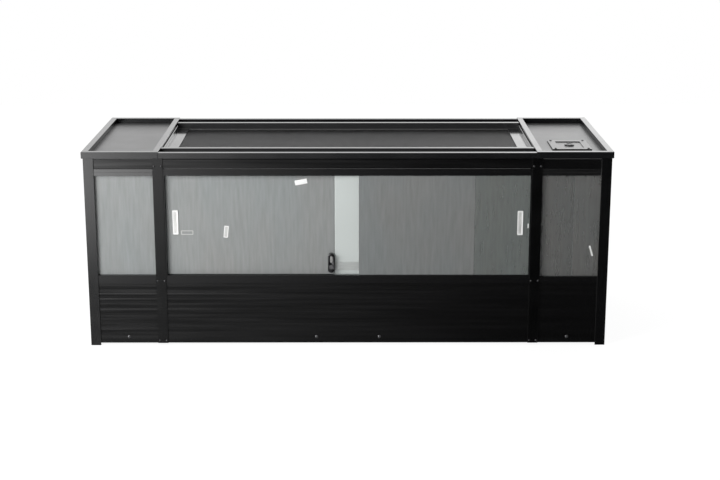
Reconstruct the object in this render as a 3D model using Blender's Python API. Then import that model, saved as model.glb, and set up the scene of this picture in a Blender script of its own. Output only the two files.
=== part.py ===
"""Front-opening reptile cage, about 48 x 18 x 18 in, made of its separate pieces.

Metres, +Z up. The origin is on the ground in the middle of the footprint. The front,
with the sliding glass doors, faces -Y, and +X is the right-hand side seen from the front.
Angle posts and black boards make the box, two mullions divide the front into a fixed
window, a pair of sliding panes and another fixed window, and the top holds two solid end
panels with a lift-out screen between them.
"""

import math

import bmesh
import bpy

# Overall size, over the rim
width = 1.220
depth = 0.457
height = 0.465

# Gap left between pieces that touch, and running clearance of lift-out pieces
gap = 0.0003
lift_clearance = 0.0015

# Rim caps and cross bars round the top
rim_height = 0.015
rim_top_width = 0.0145
rim_wall = 0.003
rim_leg = 0.002
rim_overhang = 0.0035
center_rim_drop = 0.002
cross_bar_width = 0.0135

# Corner posts and the two mullions
angle_leg = 0.0235
angle_wall = 0.002
mullion_width = 0.024
mullion_from_side = 0.174

# Boards of the box
board = 0.012
board_setback = 0.001
board_lift = 0.0053
floor_rise = 0.0087
header_height = 0.0219
bead_height = 0.0058
bead_depth = 0.0006
bead_z = 0.1246
plank_pitch = 0.0247
plank_count = 4
plank_groove = 0.0012
plank_groove_depth = 0.0005

# Top boards
top_recess = 0.012
top_board = 0.006
cross_flange = 0.003
cross_flange_in = 0.0115
cross_flange_out = 0.0225

# Glass, tracks and jambs
glass = 0.004
glass_play = 0.0005
track_wall = 0.0025
dam_height = 0.171
sill_height = 0.0187
right_sill_drop = 0.004
head_height = 0.016
lower_groove = 0.006
upper_groove = 0.0125
window_groove = 0.008
pane_top_entry = 0.006
jamb_groove = 0.007
jamb_lip_show = 0.0025
jamb_window_lip = 0.006
pane_jamb_entry = 0.0055
pane_overlap = 0.056
panes_meet_x = -0.0025

# Film over the meeting panes, finger pulls and lock
film_thickness = 0.0004
film_margin = 0.0010
pull_width = 0.0132
pull_height = 0.058
pull_thickness = 0.0020
pull_corner = 0.002
pull_rim = 0.0022
pull_dish = 0.0008
pull_above_dam = 0.125
pull_from_jamb = 0.0150
lock_width = 0.0158
lock_height = 0.046
lock_depth = 0.0125
lock_above_dam = 0.0294
lock_recess_width = 0.0070
lock_recess_height = 0.0180
lock_recess_depth = 0.0020
lock_recess_rise = 0.0090
bar_height = 0.0192
bar_thickness = 0.0010
bar_above_dam = 0.0200
bar_end_cover = 0.0016
bar_hook = 0.0090
bar_play = 0.0005
barrel_radius = 0.0050
barrel_length = 0.0085
barrel_proud = 0.0022
barrel_play = 0.0003
key_slot_width = 0.0012
key_slot_height = 0.0060
key_slot_depth = 0.0018

# Lift-out screen
screen_drop = 0.002
screen_depth = 0.346
screen_wall = 0.014
screen_sheet = 0.002
screen_side_ledge = 0.030
screen_end_ledge = 0.008
screen_side_lip = 0.009
net_thickness = 0.0012
net_bar = 0.0012
net_under_side = 0.012
net_under_end = 0.006
net_columns = 22
net_rows = 8

# Cable port on the right-hand top panel
port_from_side = 0.0845
port_from_front = 0.135
plate_width = 0.092
plate_depth = 0.112
plate_thickness = 0.003
plate_pocket_width = 0.059
plate_pocket_depth = 0.077
plate_pocket_floor = 0.0012
ring_radius = 0.0115
ring_height = 0.0028
port_radius = 0.0078
panel_hole_radius = 0.0062
plug_play = 0.0004
plug_head = 0.0030
plug_spigot = 0.0040
plate_screw_dx = 0.0385
plate_screw_dy = 0.049

# Screws: head radius, head height, shank radius, length under the head
base_screw = (0.0040, 0.0022, 0.0017, 0.0260)
plate_screw = (0.0030, 0.0015, 0.0013, 0.0065)
dome_rings = ((0.55, 0.88), (0.92, 0.45))
hole_play = 0.0003
base_screw_from_side = 0.0935
base_screw_from_joint = 0.0740

# Rivet heads formed on the mullion strips: radius, height, root in the strip
rivet = (0.0024, 0.0013, 0.0010)
rivet_dx = 0.008
rivet_from_top = 0.0340
rivet_from_foot = 0.0062
rivet_from_sill = 0.0135

# Small rounding of edges
edge_board = 0.0006
edge_metal = 0.0004
edge_glass = 0.0005

# Planes worked out from the sizes, front to back
front = -depth / 2
post_front = front + rim_overhang
post_back = post_front + angle_wall
track_front = post_back + gap
board_front = track_front + board_setback
board_back = board_front + board
back_outer = depth / 2 - rim_overhang - angle_wall - gap
back_inner = back_outer - board
groove_width = glass + 2 * glass_play
track_depth = 3 * track_wall + 2 * groove_width
track_back = track_front + track_depth
front_groove = (track_front + track_wall, track_front + track_wall + groove_width)
rear_groove = (front_groove[1] + track_wall, front_groove[1] + track_wall + groove_width)
window_mid = track_front + track_depth / 2
window_slot = (window_mid - groove_width / 2, window_mid + groove_width / 2)

# Planes left to right
side_outer = width / 2 - rim_overhang - angle_wall - gap
side_inner = side_outer - board
mullion_x = width / 2 - mullion_from_side
mullion_in = mullion_x - mullion_width / 2
jamb_in = mullion_in - jamb_lip_show
jamb_web = jamb_in + jamb_groove
jamb_out = jamb_web + track_wall + jamb_window_lip
cross_bar_in = mullion_x - 0.002
cross_bar_out = cross_bar_in + cross_bar_width
panel_split = cross_bar_in + rim_leg + gap

# Levels
panel_top = height - top_recess
panel_under = panel_top - top_board
wall_top = panel_under - gap
header_bottom = wall_top - header_height
head_top = header_bottom - gap
window_top = head_top - head_height
sill_bottom = dam_height - sill_height
dam_top = sill_bottom - gap
floor_bottom = board_lift + floor_rise
floor_top = floor_bottom + board
floor_mid = (floor_bottom + floor_top) / 2
rim_under = height - rim_wall
pane_bottom = dam_height - lower_groove + gap
pane_top = window_top + pane_top_entry

# Heights of what sits on the panes
pull_z = dam_height + pull_above_dam
lock_z = dam_height + lock_above_dam
bar_z = dam_height + bar_above_dam

# Sliding panes
left_pane_end = panes_meet_x + pane_overlap / 2
right_pane_end = panes_meet_x - pane_overlap / 2
pane_outer = jamb_in + pane_jamb_entry
front_pane = (front_groove[0] + glass_play, front_groove[1] - glass_play)
rear_pane = (rear_groove[0] + glass_play, rear_groove[1] - glass_play)

# Lock in front of the rear pane, at the edge of the front pane
lock_right = right_pane_end - gap
lock_left = lock_right - lock_width
lock_x = (lock_left + lock_right) / 2
lock_back = rear_pane[0] - gap
lock_front = lock_back - lock_depth
bar_back = rear_pane[0] - 2 * gap - film_thickness
bar_front = bar_back - bar_thickness

# Screen lid
screen_half = cross_bar_in - lift_clearance
screen_under = panel_under
screen_end = screen_depth / 2
screen_inner = screen_end - screen_wall
strip_inner = screen_inner + screen_sheet + lift_clearance

# Cable port
port_x = width / 2 - port_from_side
port_y = front + port_from_front
plate_bottom = panel_top + gap
plate_top = plate_bottom + plate_thickness


def clear_scene():
    for thing in list(bpy.data.objects):
        bpy.data.objects.remove(thing, do_unlink=True)


def make_material(name, color, roughness, metallic=0.0, alpha=1.0):
    material = bpy.data.materials.new(name)
    material.use_nodes = True
    shader = material.node_tree.nodes["Principled BSDF"]
    shader.inputs["Base Color"].default_value = (*color, 1.0)
    shader.inputs["Roughness"].default_value = roughness
    shader.inputs["Metallic"].default_value = metallic
    shader.inputs["Alpha"].default_value = alpha
    return material


def make_piece(name, mesh_data, material, bevel=0.0, smooth=False):
    """Turn a finished bmesh into a named object, with an optional small edge bevel."""
    bmesh.ops.recalc_face_normals(mesh_data, faces=mesh_data.faces)
    mesh = bpy.data.meshes.new(name)
    mesh_data.to_mesh(mesh)
    mesh_data.free()
    if smooth:
        mesh.shade_smooth()
        mesh.set_sharp_from_angle(angle=math.radians(35))
    piece = bpy.data.objects.new(name, mesh)
    bpy.context.collection.objects.link(piece)
    if material is not None:
        mesh.materials.append(material)
    if bevel > 0:
        rounding = piece.modifiers.new("edges", "BEVEL")
        rounding.width = bevel
        rounding.segments = 1
        rounding.limit_method = "ANGLE"
        rounding.angle_limit = math.radians(40)
    return piece


def make_cutter(name, mesh_data):
    cutter = make_piece(name, mesh_data, None)
    cutter.hide_render = True
    cutter.display_type = "WIRE"
    return cutter


def cut(piece, cutter):
    boolean = piece.modifiers.new("cut by " + cutter.name, "BOOLEAN")
    boolean.operation = "DIFFERENCE"
    boolean.object = cutter


def on_axis(axis, a, b, along):
    """Point at a, b in the plane across an axis and at a distance along it."""
    if axis == "X":
        return (along, a, b)
    if axis == "Y":
        return (a, along, b)
    return (a, b, along)


def add_prism(mesh_data, outline, axis, start, end):
    """Carry an outline along an axis. An end may be a function of the outline's point,
    which makes a mitre."""

    def ring(limit):
        points = []
        for a, b in outline:
            along = limit(a, b) if callable(limit) else limit
            points.append(mesh_data.verts.new(on_axis(axis, a, b, along)))
        return points

    first = ring(start)
    last = ring(end)
    mesh_data.faces.new(first)
    mesh_data.faces.new(last)
    for index in range(len(outline)):
        after = (index + 1) % len(outline)
        mesh_data.faces.new((first[index], first[after], last[after], last[index]))


def add_box(mesh_data, low, high):
    outline = [(low[0], low[1]), (high[0], low[1]), (high[0], high[1]), (low[0], high[1])]
    add_prism(mesh_data, outline, "Z", low[2], high[2])


def add_lathe(mesh_data, profile, center, axis, steps):
    """Turn (radius, distance along axis) points round a centre line. A radius of zero is
    a single point."""
    rings = []
    for radius, along in profile:
        count = steps if radius > 0 else 1
        ring = []
        for step in range(count):
            angle = 2 * math.pi * step / steps
            a = center[0] + radius * math.cos(angle)
            b = center[1] + radius * math.sin(angle)
            ring.append(mesh_data.verts.new(on_axis(axis, a, b, along)))
        rings.append(ring)
    for ring, following in zip(rings, rings[1:] + rings[:1]):
        if len(ring) == 1 and len(following) == 1:
            continue
        for step in range(steps):
            after = (step + 1) % steps
            corners = [ring[step % len(ring)], ring[after % len(ring)],
                       following[after % len(following)], following[step % len(following)]]
            unique = list(dict.fromkeys(corners))
            mesh_data.faces.new(unique)


def prism(name, outline, axis, start, end, material, bevel=0.0):
    mesh_data = bmesh.new()
    add_prism(mesh_data, outline, axis, start, end)
    return make_piece(name, mesh_data, material, bevel)


def box(name, low, high, material, bevel=0.0):
    mesh_data = bmesh.new()
    add_box(mesh_data, low, high)
    return make_piece(name, mesh_data, material, bevel)


def mirrored(outline, side):
    """Outline with its first coordinate on the left (-1) or right (+1) side."""
    return [(side * a, b) for a, b in outline]


def span(side, near, far):
    """Low and high of a stretch that reaches from near to far on one side of zero."""
    return (near, far) if side > 0 else (-far, -near)


def rounded_outline(a, b, wide, high, corner, steps=4):
    """Rectangle with round corners, centred at a, b."""
    points = []
    for turn, (sign_a, sign_b) in enumerate(((1, 1), (-1, 1), (-1, -1), (1, -1))):
        middle_a = a + sign_a * (wide / 2 - corner)
        middle_b = b + sign_b * (high / 2 - corner)
        for step in range(steps + 1):
            angle = math.pi / 2 * (turn + step / steps)
            points.append((middle_a + corner * math.cos(angle),
                           middle_b + corner * math.sin(angle)))
    return points


def merge_repeats(outline):
    """Drop points that fall on the one before, as where two round ends meet."""
    kept = []
    for point in outline:
        if not kept or math.dist(point, kept[-1]) > 1e-6:
            kept.append(point)
    if math.dist(kept[0], kept[-1]) < 1e-6:
        kept.pop()
    return kept


def stadium(a, b, wide, high, steps=6):
    return merge_repeats(rounded_outline(a, b, wide, high, wide / 2, steps))


def grooved_outline(low, high, grooves, groove_depth, relief):
    """Track section in (y, z), open upwards: grooves is a list of (y, y) pairs, and
    relief is how far the underside is hollowed out between two legs."""
    (y0, z0), (y1, z1) = low, high
    points = [(y0, z0)]
    if relief > track_wall:
        points += [(y0 + track_wall, z0), (y0 + track_wall, z0 + relief),
                   (y1 - track_wall, z0 + relief), (y1 - track_wall, z0)]
    points += [(y1, z0), (y1, z1)]
    for near, far in reversed(grooves):
        points += [(far, z1), (far, z1 - groove_depth), (near, z1 - groove_depth), (near, z1)]
    points.append((y0, z1))
    return points


def upside_down(outline, middle):
    return [(a, 2 * middle - b) for a, b in outline]


def add_net(mesh_data, low, high, columns, rows, bar):
    """Flat net as one closed sheet: bars of one width round columns x rows gaps."""

    def lines(start, end, count):
        pitch = (end - start - bar) / count
        marks = []
        for index in range(count + 1):
            marks += [start + index * pitch, start + index * pitch + bar]
        return marks

    xs = lines(low[0], high[0], columns)
    ys = lines(low[1], high[1], rows)

    def is_solid(i, j):
        inside = 0 <= i < len(xs) - 1 and 0 <= j < len(ys) - 1
        return inside and not (i % 2 == 1 and j % 2 == 1)

    levels = (low[2], high[2])
    grid = [[[mesh_data.verts.new((x, y, z)) for z in levels] for y in ys] for x in xs]
    for i in range(len(xs) - 1):
        for j in range(len(ys) - 1):
            if not is_solid(i, j):
                continue
            corners = [grid[i][j], grid[i + 1][j], grid[i + 1][j + 1], grid[i][j + 1]]
            mesh_data.faces.new([corner[1] for corner in corners])
            mesh_data.faces.new([corner[0] for corner in reversed(corners)])
            neighbours = ((i, j - 1), (i + 1, j), (i, j + 1), (i - 1, j))
            for index, cell in enumerate(neighbours):
                if is_solid(*cell):
                    continue
                near = corners[index]
                far = corners[(index + 1) % 4]
                mesh_data.faces.new((near[0], far[0], far[1], near[1]))


def add_screw(mesh_data, size, center, axis, seat, outward):
    """Domed head on the seat plane and a pointed shank the other way."""
    head_radius, head_height, shank_radius, length = size
    profile = [(0, seat + outward * (gap + head_height))]
    for share, rise in dome_rings:
        profile.append((head_radius * share, seat + outward * (gap + head_height * rise)))
    profile += [(head_radius, seat + outward * gap),
                (shank_radius, seat + outward * gap),
                (shank_radius, seat - outward * (length - 2 * shank_radius)),
                (0, seat - outward * length)]
    add_lathe(mesh_data, profile, center, axis, 12)


def add_screw_hole(mesh_data, size, center, axis, seat, outward):
    """Clearance round the shank of add_screw, past its point and past its seat."""
    shank_radius = size[2] + hole_play
    outer = seat + outward * 0.5 * gap
    inner = seat - outward * (size[3] + hole_play)
    profile = [(0, outer), (shank_radius, outer), (shank_radius, inner), (0, inner)]
    add_lathe(mesh_data, profile, center, axis, 12)


def hold(name, point, pieces):
    """Empty on a joint's axis that carries the pieces of one moving body."""
    holder = bpy.data.objects.new(name, None)
    holder.location = point
    bpy.context.collection.objects.link(holder)
    for piece in pieces:
        piece.parent = holder
        piece.location = piece.location - holder.location


def screw_places():
    """Each screw's name with (size, centre in the plane, axis, seat plane, outward)."""
    places = {}
    outer_x = width / 2 - base_screw_from_side
    across = (-outer_x, -base_screw_from_joint, base_screw_from_joint, outer_x)
    for number, x in enumerate(across, 1):
        places[f"base_screw_{number}"] = (base_screw, (x, floor_mid), "Y", board_front, -1)
    corners = ((-1, -1), (1, -1), (-1, 1), (1, 1))
    for number, (side, end) in enumerate(corners, 1):
        center = (port_x + side * plate_screw_dx, port_y + end * plate_screw_dy)
        places[f"cable_plate_screw_{number}"] = (plate_screw, center, "Z", plate_top, 1)
    return places


def build_screws(material):
    """The screws, and one hidden cutter that drills for all of them."""
    drill = bmesh.new()
    for name, place in screw_places().items():
        screw = bmesh.new()
        add_screw(screw, *place)
        add_screw_hole(drill, *place)
        make_piece(name, screw, material, smooth=True)
    return make_cutter("screw_drill", drill)


def build_posts(metal):
    """Four corner angles that stand on the ground and carry the rim."""
    top = rim_under - gap
    for side, side_name in ((-1, "left"), (1, "right")):
        for end, end_name in ((-1, "front"), (1, "rear")):
            x = side * (width / 2 - rim_overhang)
            y = end * (depth / 2 - rim_overhang)
            outline = [(x, y), (x - side * angle_leg, y),
                       (x - side * angle_leg, y - end * angle_wall),
                       (x - side * angle_wall, y - end * angle_wall),
                       (x - side * angle_wall, y - end * angle_leg),
                       (x, y - end * angle_leg)]
            prism(f"post_{end_name}_{side_name}", outline, "Z", 0, top, metal, edge_metal)


def build_mullions(metal):
    """Flat strips riveted over the front, one each side of the doors."""
    radius, head, root = rivet
    top = height - center_rim_drop - rim_wall - gap
    levels = (height - rivet_from_top, dam_height - rivet_from_sill,
              board_lift + rivet_from_foot)
    for side, name in ((-1, "left"), (1, "right")):
        low, high = span(side, mullion_in, mullion_in + mullion_width)
        strip = box(f"mullion_{name}", (low, post_front, board_lift),
                    (high, post_back, top), metal, edge_metal)
        heads = bmesh.new()
        for shift in (-rivet_dx, rivet_dx):
            for z in levels:
                profile = [(0, post_front - head)]
                for share, rise in dome_rings:
                    profile.append((radius * share, post_front - head * rise))
                profile += [(radius, post_front), (radius, post_front + root),
                            (0, post_front + root)]
                add_lathe(heads, profile, (side * mullion_x + shift, z), "Y", 12)
        rivets = strip.modifiers.new("rivet heads", "BOOLEAN")
        rivets.operation = "UNION"
        rivets.object = make_cutter(f"mullion_{name}_rivets", heads)


def build_boards(black, drill):
    """Walls, floor, substrate dam and header."""
    for side, name in ((-1, "left"), (1, "right")):
        low, high = span(side, side_inner, side_outer)
        box(f"side_panel_{name}", (low, -back_outer, board_lift),
            (high, back_outer, wall_top), black, edge_board)
    inside = side_inner - gap
    box("back_panel", (-inside, back_inner, board_lift),
        (inside, back_outer, wall_top), black, edge_board)
    box("header_panel", (-inside, board_front, header_bottom),
        (inside, board_back, wall_top), black, edge_board)
    dam = prism("lower_front_panel", dam_outline(), "X", -inside, inside, black)
    cut(dam, drill)
    for side, name in ((-1, "left"), (1, "right")):
        low, high = span(side, gap / 2, inside)
        floor = box(f"floor_{name}", (low, board_back + gap, floor_bottom),
                    (high, back_inner - gap, floor_top), black, edge_board)
        cut(floor, drill)


def dam_outline():
    """Section of the lower front board: a bead near the top and V grooves below it."""
    points = [(board_back, board_lift), (board_back, dam_top), (board_front, dam_top)]
    bead_top = bead_z + bead_height / 2
    bead_low = bead_z - bead_height / 2
    points += [(board_front, bead_top), (board_front - bead_depth, bead_top - bead_depth),
               (board_front - bead_depth, bead_low + bead_depth), (board_front, bead_low)]
    first = bead_z - bead_height / 2 - 0.3 * plank_pitch
    for index in range(plank_count):
        z = first - index * plank_pitch
        points += [(board_front, z + plank_groove / 2),
                   (board_front + plank_groove_depth, z),
                   (board_front, z - plank_groove / 2)]
    points.append((board_front, board_lift))
    return points


def build_top_boards(black, drill):
    """End panels, and the strips in front of and behind the screen."""
    for side, name in ((-1, "left"), (1, "right")):
        low, high = span(side, panel_split, side_outer)
        panel = box(f"top_panel_{name}", (low, -back_outer, panel_under),
                    (high, back_outer, panel_top), black, edge_board)
        if side > 0:
            cut(panel, drill)
            cut(panel, cable_hole_cutter())
    strip_half = cross_bar_in - gap
    for end, name in ((-1, "front"), (1, "rear")):
        low, high = span(end, strip_inner, back_outer)
        box(f"top_strip_{name}", (-strip_half, low, panel_under),
            (strip_half, high, panel_top), black, edge_board)


def rim_outline(outer, drop):
    """Inverted channel in (distance in from the outer face, z): a tall outer leg, a
    flat top and a shorter inner leg that stands on the top boards."""
    top = height - drop
    inner_foot = panel_top + gap
    return [(outer, height - rim_height), (outer, top), (outer + rim_top_width, top),
            (outer + rim_top_width, inner_foot),
            (outer + rim_top_width - rim_leg, inner_foot),
            (outer + rim_top_width - rim_leg, top - rim_wall),
            (outer + rim_wall, top - rim_wall), (outer + rim_wall, height - rim_height)]


def build_rim(metal):
    """Eight caps round the top, mitred at the corners, and two bars across it."""
    half_width = width / 2
    half_depth = depth / 2
    outline = rim_outline(0, 0)
    for side, name in ((-1, "left"), (1, "right")):
        shape = [(side * (half_width - a), z) for a, z in outline]
        reach = half_depth - gap

        def mitre_front(x, z):
            return -reach + (half_width - abs(x))

        def mitre_rear(x, z):
            return reach - (half_width - abs(x))

        prism(f"rim_side_{name}", shape, "Y", mitre_front, mitre_rear, metal, edge_metal)
    for end, end_name in ((-1, "front"), (1, "rear")):
        shape = [(end * (half_depth - a), z) for a, z in outline]
        for side, name in ((-1, "left"), (1, "right")):

            def mitre(y, z):
                return side * (half_width - (half_depth - abs(y)))

            prism(f"rim_{end_name}_{name}", shape, "X", side * cross_bar_in, mitre,
                  metal, edge_metal)
        middle = [(end * (half_depth - a), z) for a, z in rim_outline(0, center_rim_drop)]
        reach = cross_bar_in - gap
        prism(f"rim_{end_name}_center", middle, "X", -reach, reach, metal, edge_metal)
    build_cross_bars(metal)


def build_cross_bars(metal):
    """Bars across the top. A web goes down beside the end panel to a flange that carries
    the edges of the panel and of the front and rear strips."""
    foot = panel_top + gap
    web_out = cross_bar_in + rim_leg
    flange_low = wall_top - cross_flange
    section = [(cross_bar_in, height), (cross_bar_out, height), (cross_bar_out, foot),
               (cross_bar_out - rim_leg, foot), (cross_bar_out - rim_leg, rim_under),
               (web_out, rim_under), (web_out, wall_top),
               (cross_bar_in + cross_flange_out, wall_top),
               (cross_bar_in + cross_flange_out, flange_low),
               (cross_bar_in - cross_flange_in, flange_low),
               (cross_bar_in - cross_flange_in, wall_top), (cross_bar_in, wall_top)]
    reach = depth / 2 - rim_top_width - gap
    notch = bmesh.new()
    past = cross_bar_out + cross_flange_out
    for near, far in ((-depth, board_back + gap), (back_inner - gap, depth)):
        add_box(notch, (-past, near, flange_low - board), (past, far, wall_top + gap))
    notch_cutter = make_cutter("cross_bar_notches", notch)
    for side, name in ((-1, "left"), (1, "right")):
        bar = prism(f"cross_bar_{name}", mirrored(section, side), "Y", -reach, reach,
                    metal, edge_metal)
        cut(bar, notch_cutter)


def build_tracks(plastic):
    """Two-groove tracks for the doors and one-groove channels for the windows."""
    door_grooves = [front_groove, rear_groove]
    reach = jamb_in - gap
    lower = grooved_outline((track_front, sill_bottom), (track_back, dam_height),
                            door_grooves, lower_groove,
                            sill_height - lower_groove - track_wall)
    prism("lower_track", lower, "X", -reach, reach, plastic)
    upper = grooved_outline((track_front, window_top), (track_back, head_top),
                            door_grooves, upper_groove, 0)
    prism("upper_track", upside_down(upper, (window_top + head_top) / 2), "X",
          -reach, reach, plastic)
    for side, name in ((-1, "left"), (1, "right")):
        near, far = span(side, jamb_out + gap, side_inner - gap)
        sill_top = dam_height - (right_sill_drop if side > 0 else 0)
        sill = grooved_outline((track_front, sill_bottom), (track_back, sill_top),
                               [window_slot], window_groove,
                               sill_top - sill_bottom - window_groove - track_wall)
        prism(f"sill_{name}", sill, "X", near, far, plastic)
        head = grooved_outline((track_front, window_top), (track_back, head_top),
                               [window_slot], window_groove, 0)
        prism(f"head_{name}", upside_down(head, (window_top + head_top) / 2), "X",
              near, far, plastic)
        prism(f"jamb_{name}", jamb_outline(side), "Z", sill_bottom, head_top, plastic)


def jamb_outline(side):
    """Section in (x, y): door grooves towards the middle, a window slot outwards."""
    points = [(jamb_in, track_front)]
    for near, far in (front_groove, rear_groove):
        points += [(jamb_in, near), (jamb_web, near), (jamb_web, far), (jamb_in, far)]
    slot_floor = jamb_out - jamb_window_lip
    points += [(jamb_in, track_back), (jamb_out, track_back),
               (jamb_out, window_slot[1]), (slot_floor, window_slot[1]),
               (slot_floor, window_slot[0]), (jamb_out, window_slot[0]),
               (jamb_out, track_front)]
    return mirrored(points, side)


def build_windows(clear):
    """The two fixed panes."""
    for side, name in ((-1, "left"), (1, "right")):
        low, high = span(side, jamb_out - jamb_window_lip + glass_play, side_inner - glass_play)
        bottom = dam_height - window_groove + gap
        if side > 0:
            bottom -= right_sill_drop
        box(f"window_{name}", (low, window_slot[0] + glass_play, bottom),
            (high, window_slot[1] - glass_play, window_top + window_groove - gap),
            clear, edge_glass)


def finger_pull(name, x, face, white):
    """Shallow dished pull stuck on the front face of a pane."""
    near = face - gap
    outer = near - pull_thickness
    mesh_data = bmesh.new()
    outline = rounded_outline(x, pull_z, pull_width, pull_height, pull_corner)
    add_prism(mesh_data, outline, "Y", near, outer)
    pull = make_piece(name, mesh_data, white, 0)
    dish = bmesh.new()
    inner = rounded_outline(x, pull_z, pull_width - 2 * pull_rim, pull_height - 2 * pull_rim,
                            pull_corner)
    add_prism(dish, inner, "Y", outer + pull_dish, outer - pull_dish)
    cut(pull, make_cutter(name + "_dish", dish))
    return pull


def build_doors(clear, film, white):
    """Rear pane on the left with its film and pull, front pane on the right."""
    pane_z = (pane_bottom, pane_top)
    rear = box("door_glass_left", (-pane_outer, rear_pane[0], pane_z[0]),
               (left_pane_end, rear_pane[1], pane_z[1]), clear, edge_glass)
    strip_face = rear_pane[0] - gap
    strip = box("overlap_film",
                (right_pane_end + gap, strip_face - film_thickness, dam_height + film_margin),
                (left_pane_end - gap, strip_face, window_top - film_margin), film)
    pull_x = jamb_in - pull_from_jamb - pull_width / 2
    left_pull = finger_pull("finger_pull_left", -pull_x, rear_pane[0], white)
    front_door = box("door_glass_right", (right_pane_end, front_pane[0], pane_z[0]),
                     (pane_outer, front_pane[1], pane_z[1]), clear, edge_glass)
    right_pull = finger_pull("finger_pull_right", pull_x, front_pane[0], white)
    return [rear, strip, left_pull], [front_door, right_pull]


def build_lock(black, steel, chrome):
    """Display lock: a bar hooked round the rear pane's edge, and a body that blocks the
    front pane and lets the bar run through it."""
    low_z = bar_z - bar_height / 2
    high_z = bar_z + bar_height / 2
    hook_out = left_pane_end + gap + bar_thickness
    hook_back = rear_pane[1] + gap + bar_thickness
    bar_start = lock_left + bar_end_cover
    outline = [(bar_start, bar_front), (hook_out, bar_front), (hook_out, hook_back),
               (hook_out - bar_thickness - bar_hook, hook_back),
               (hook_out - bar_thickness - bar_hook, hook_back - bar_thickness),
               (hook_out - bar_thickness, hook_back - bar_thickness),
               (hook_out - bar_thickness, bar_back), (bar_start, bar_back)]
    bar = prism("lock_bar", outline, "Z", low_z, high_z, steel)

    mesh_data = bmesh.new()
    add_prism(mesh_data, stadium(lock_x, lock_z, lock_width, lock_height), "Y",
              lock_back, lock_front)
    body = make_piece("lock_body", mesh_data, black)
    slot = bmesh.new()
    add_box(slot, (lock_left - lock_width, bar_front - bar_play, low_z - bar_play),
            (lock_right + lock_width, lock_back + lock_depth, high_z + bar_play))
    cut(body, make_cutter("lock_bar_slot", slot))
    recess = bmesh.new()
    add_prism(recess, stadium(lock_x, lock_z + lock_recess_rise, lock_recess_width,
                              lock_recess_height), "Y",
              lock_front + lock_recess_depth, lock_front - lock_recess_depth)
    cut(body, make_cutter("lock_recess", recess))
    barrel_front = lock_front - barrel_proud
    barrel_back = barrel_front + barrel_length
    bore = bmesh.new()
    bore_radius = barrel_radius + barrel_play
    bore_end = barrel_back + gap
    add_lathe(bore, [(0, lock_front - barrel_proud), (bore_radius, lock_front - barrel_proud),
                     (bore_radius, bore_end), (0, bore_end)], (lock_x, bar_z), "Y", 24)
    cut(body, make_cutter("lock_bore", bore))

    round_edge = barrel_radius * 0.12
    turned = bmesh.new()
    add_lathe(turned, [(0, barrel_front), (barrel_radius - round_edge, barrel_front),
                       (barrel_radius, barrel_front + round_edge),
                       (barrel_radius, barrel_back), (0, barrel_back)],
              (lock_x, bar_z), "Y", 24)
    barrel = make_piece("lock_barrel", turned, chrome, smooth=True)
    keyway = bmesh.new()
    add_box(keyway, (lock_x - key_slot_width / 2, barrel_front - key_slot_depth,
                     bar_z - key_slot_height / 2),
            (lock_x + key_slot_width / 2, barrel_front + key_slot_depth,
             bar_z + key_slot_height / 2))
    keyway_cutter = make_cutter("lock_keyway", keyway)
    cut(barrel, keyway_cutter)
    return bar, body, barrel


def build_screen(metal, mesh_black):
    """Lift-out frame: tall walls front and rear, flat ledges at the sides, and the net."""
    top = height - screen_drop
    ledge_top = screen_under + screen_sheet
    wall_foot = panel_top + gap
    section = [(screen_end, wall_foot), (screen_end, top), (screen_inner, top),
               (screen_inner, ledge_top), (screen_inner - screen_end_ledge, ledge_top),
               (screen_inner - screen_end_ledge, screen_under),
               (screen_inner + screen_sheet, screen_under),
               (screen_inner + screen_sheet, top - screen_sheet),
               (screen_end - screen_sheet, top - screen_sheet),
               (screen_end - screen_sheet, wall_foot)]
    pieces = []
    for end, name in ((-1, "front"), (1, "rear")):
        pieces.append(prism(f"screen_frame_{name}", mirrored(section, end), "X",
                            -screen_half, screen_half, metal, edge_metal))
    lip_top = ledge_top + screen_side_lip
    side_section = [(screen_half, screen_under), (screen_half, lip_top),
                    (screen_half - screen_sheet, lip_top),
                    (screen_half - screen_sheet, ledge_top),
                    (screen_half - screen_side_ledge, ledge_top),
                    (screen_half - screen_side_ledge, screen_under)]
    reach = screen_inner - screen_end_ledge - gap
    for side, name in ((-1, "left"), (1, "right")):
        pieces.append(prism(f"screen_frame_{name}", mirrored(side_section, side), "Y",
                            -reach, reach, metal, edge_metal))
    net_x = screen_half - screen_side_ledge + net_under_side
    net_y = screen_inner - screen_end_ledge + net_under_end
    net_top = screen_under - gap
    mesh_data = bmesh.new()
    add_net(mesh_data, (-net_x, -net_y, net_top - net_thickness), (net_x, net_y, net_top),
            net_columns, net_rows, net_bar)
    pieces.append(make_piece("screen_mesh", mesh_data, mesh_black))
    return pieces


def cable_hole_cutter():
    mesh_data = bmesh.new()
    low = panel_under - top_board
    high = panel_top + top_board
    add_lathe(mesh_data, [(0, high), (panel_hole_radius, high), (panel_hole_radius, low),
                          (0, low)], (port_x, port_y), "Z", 24)
    return make_cutter("cable_hole", mesh_data)


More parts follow.
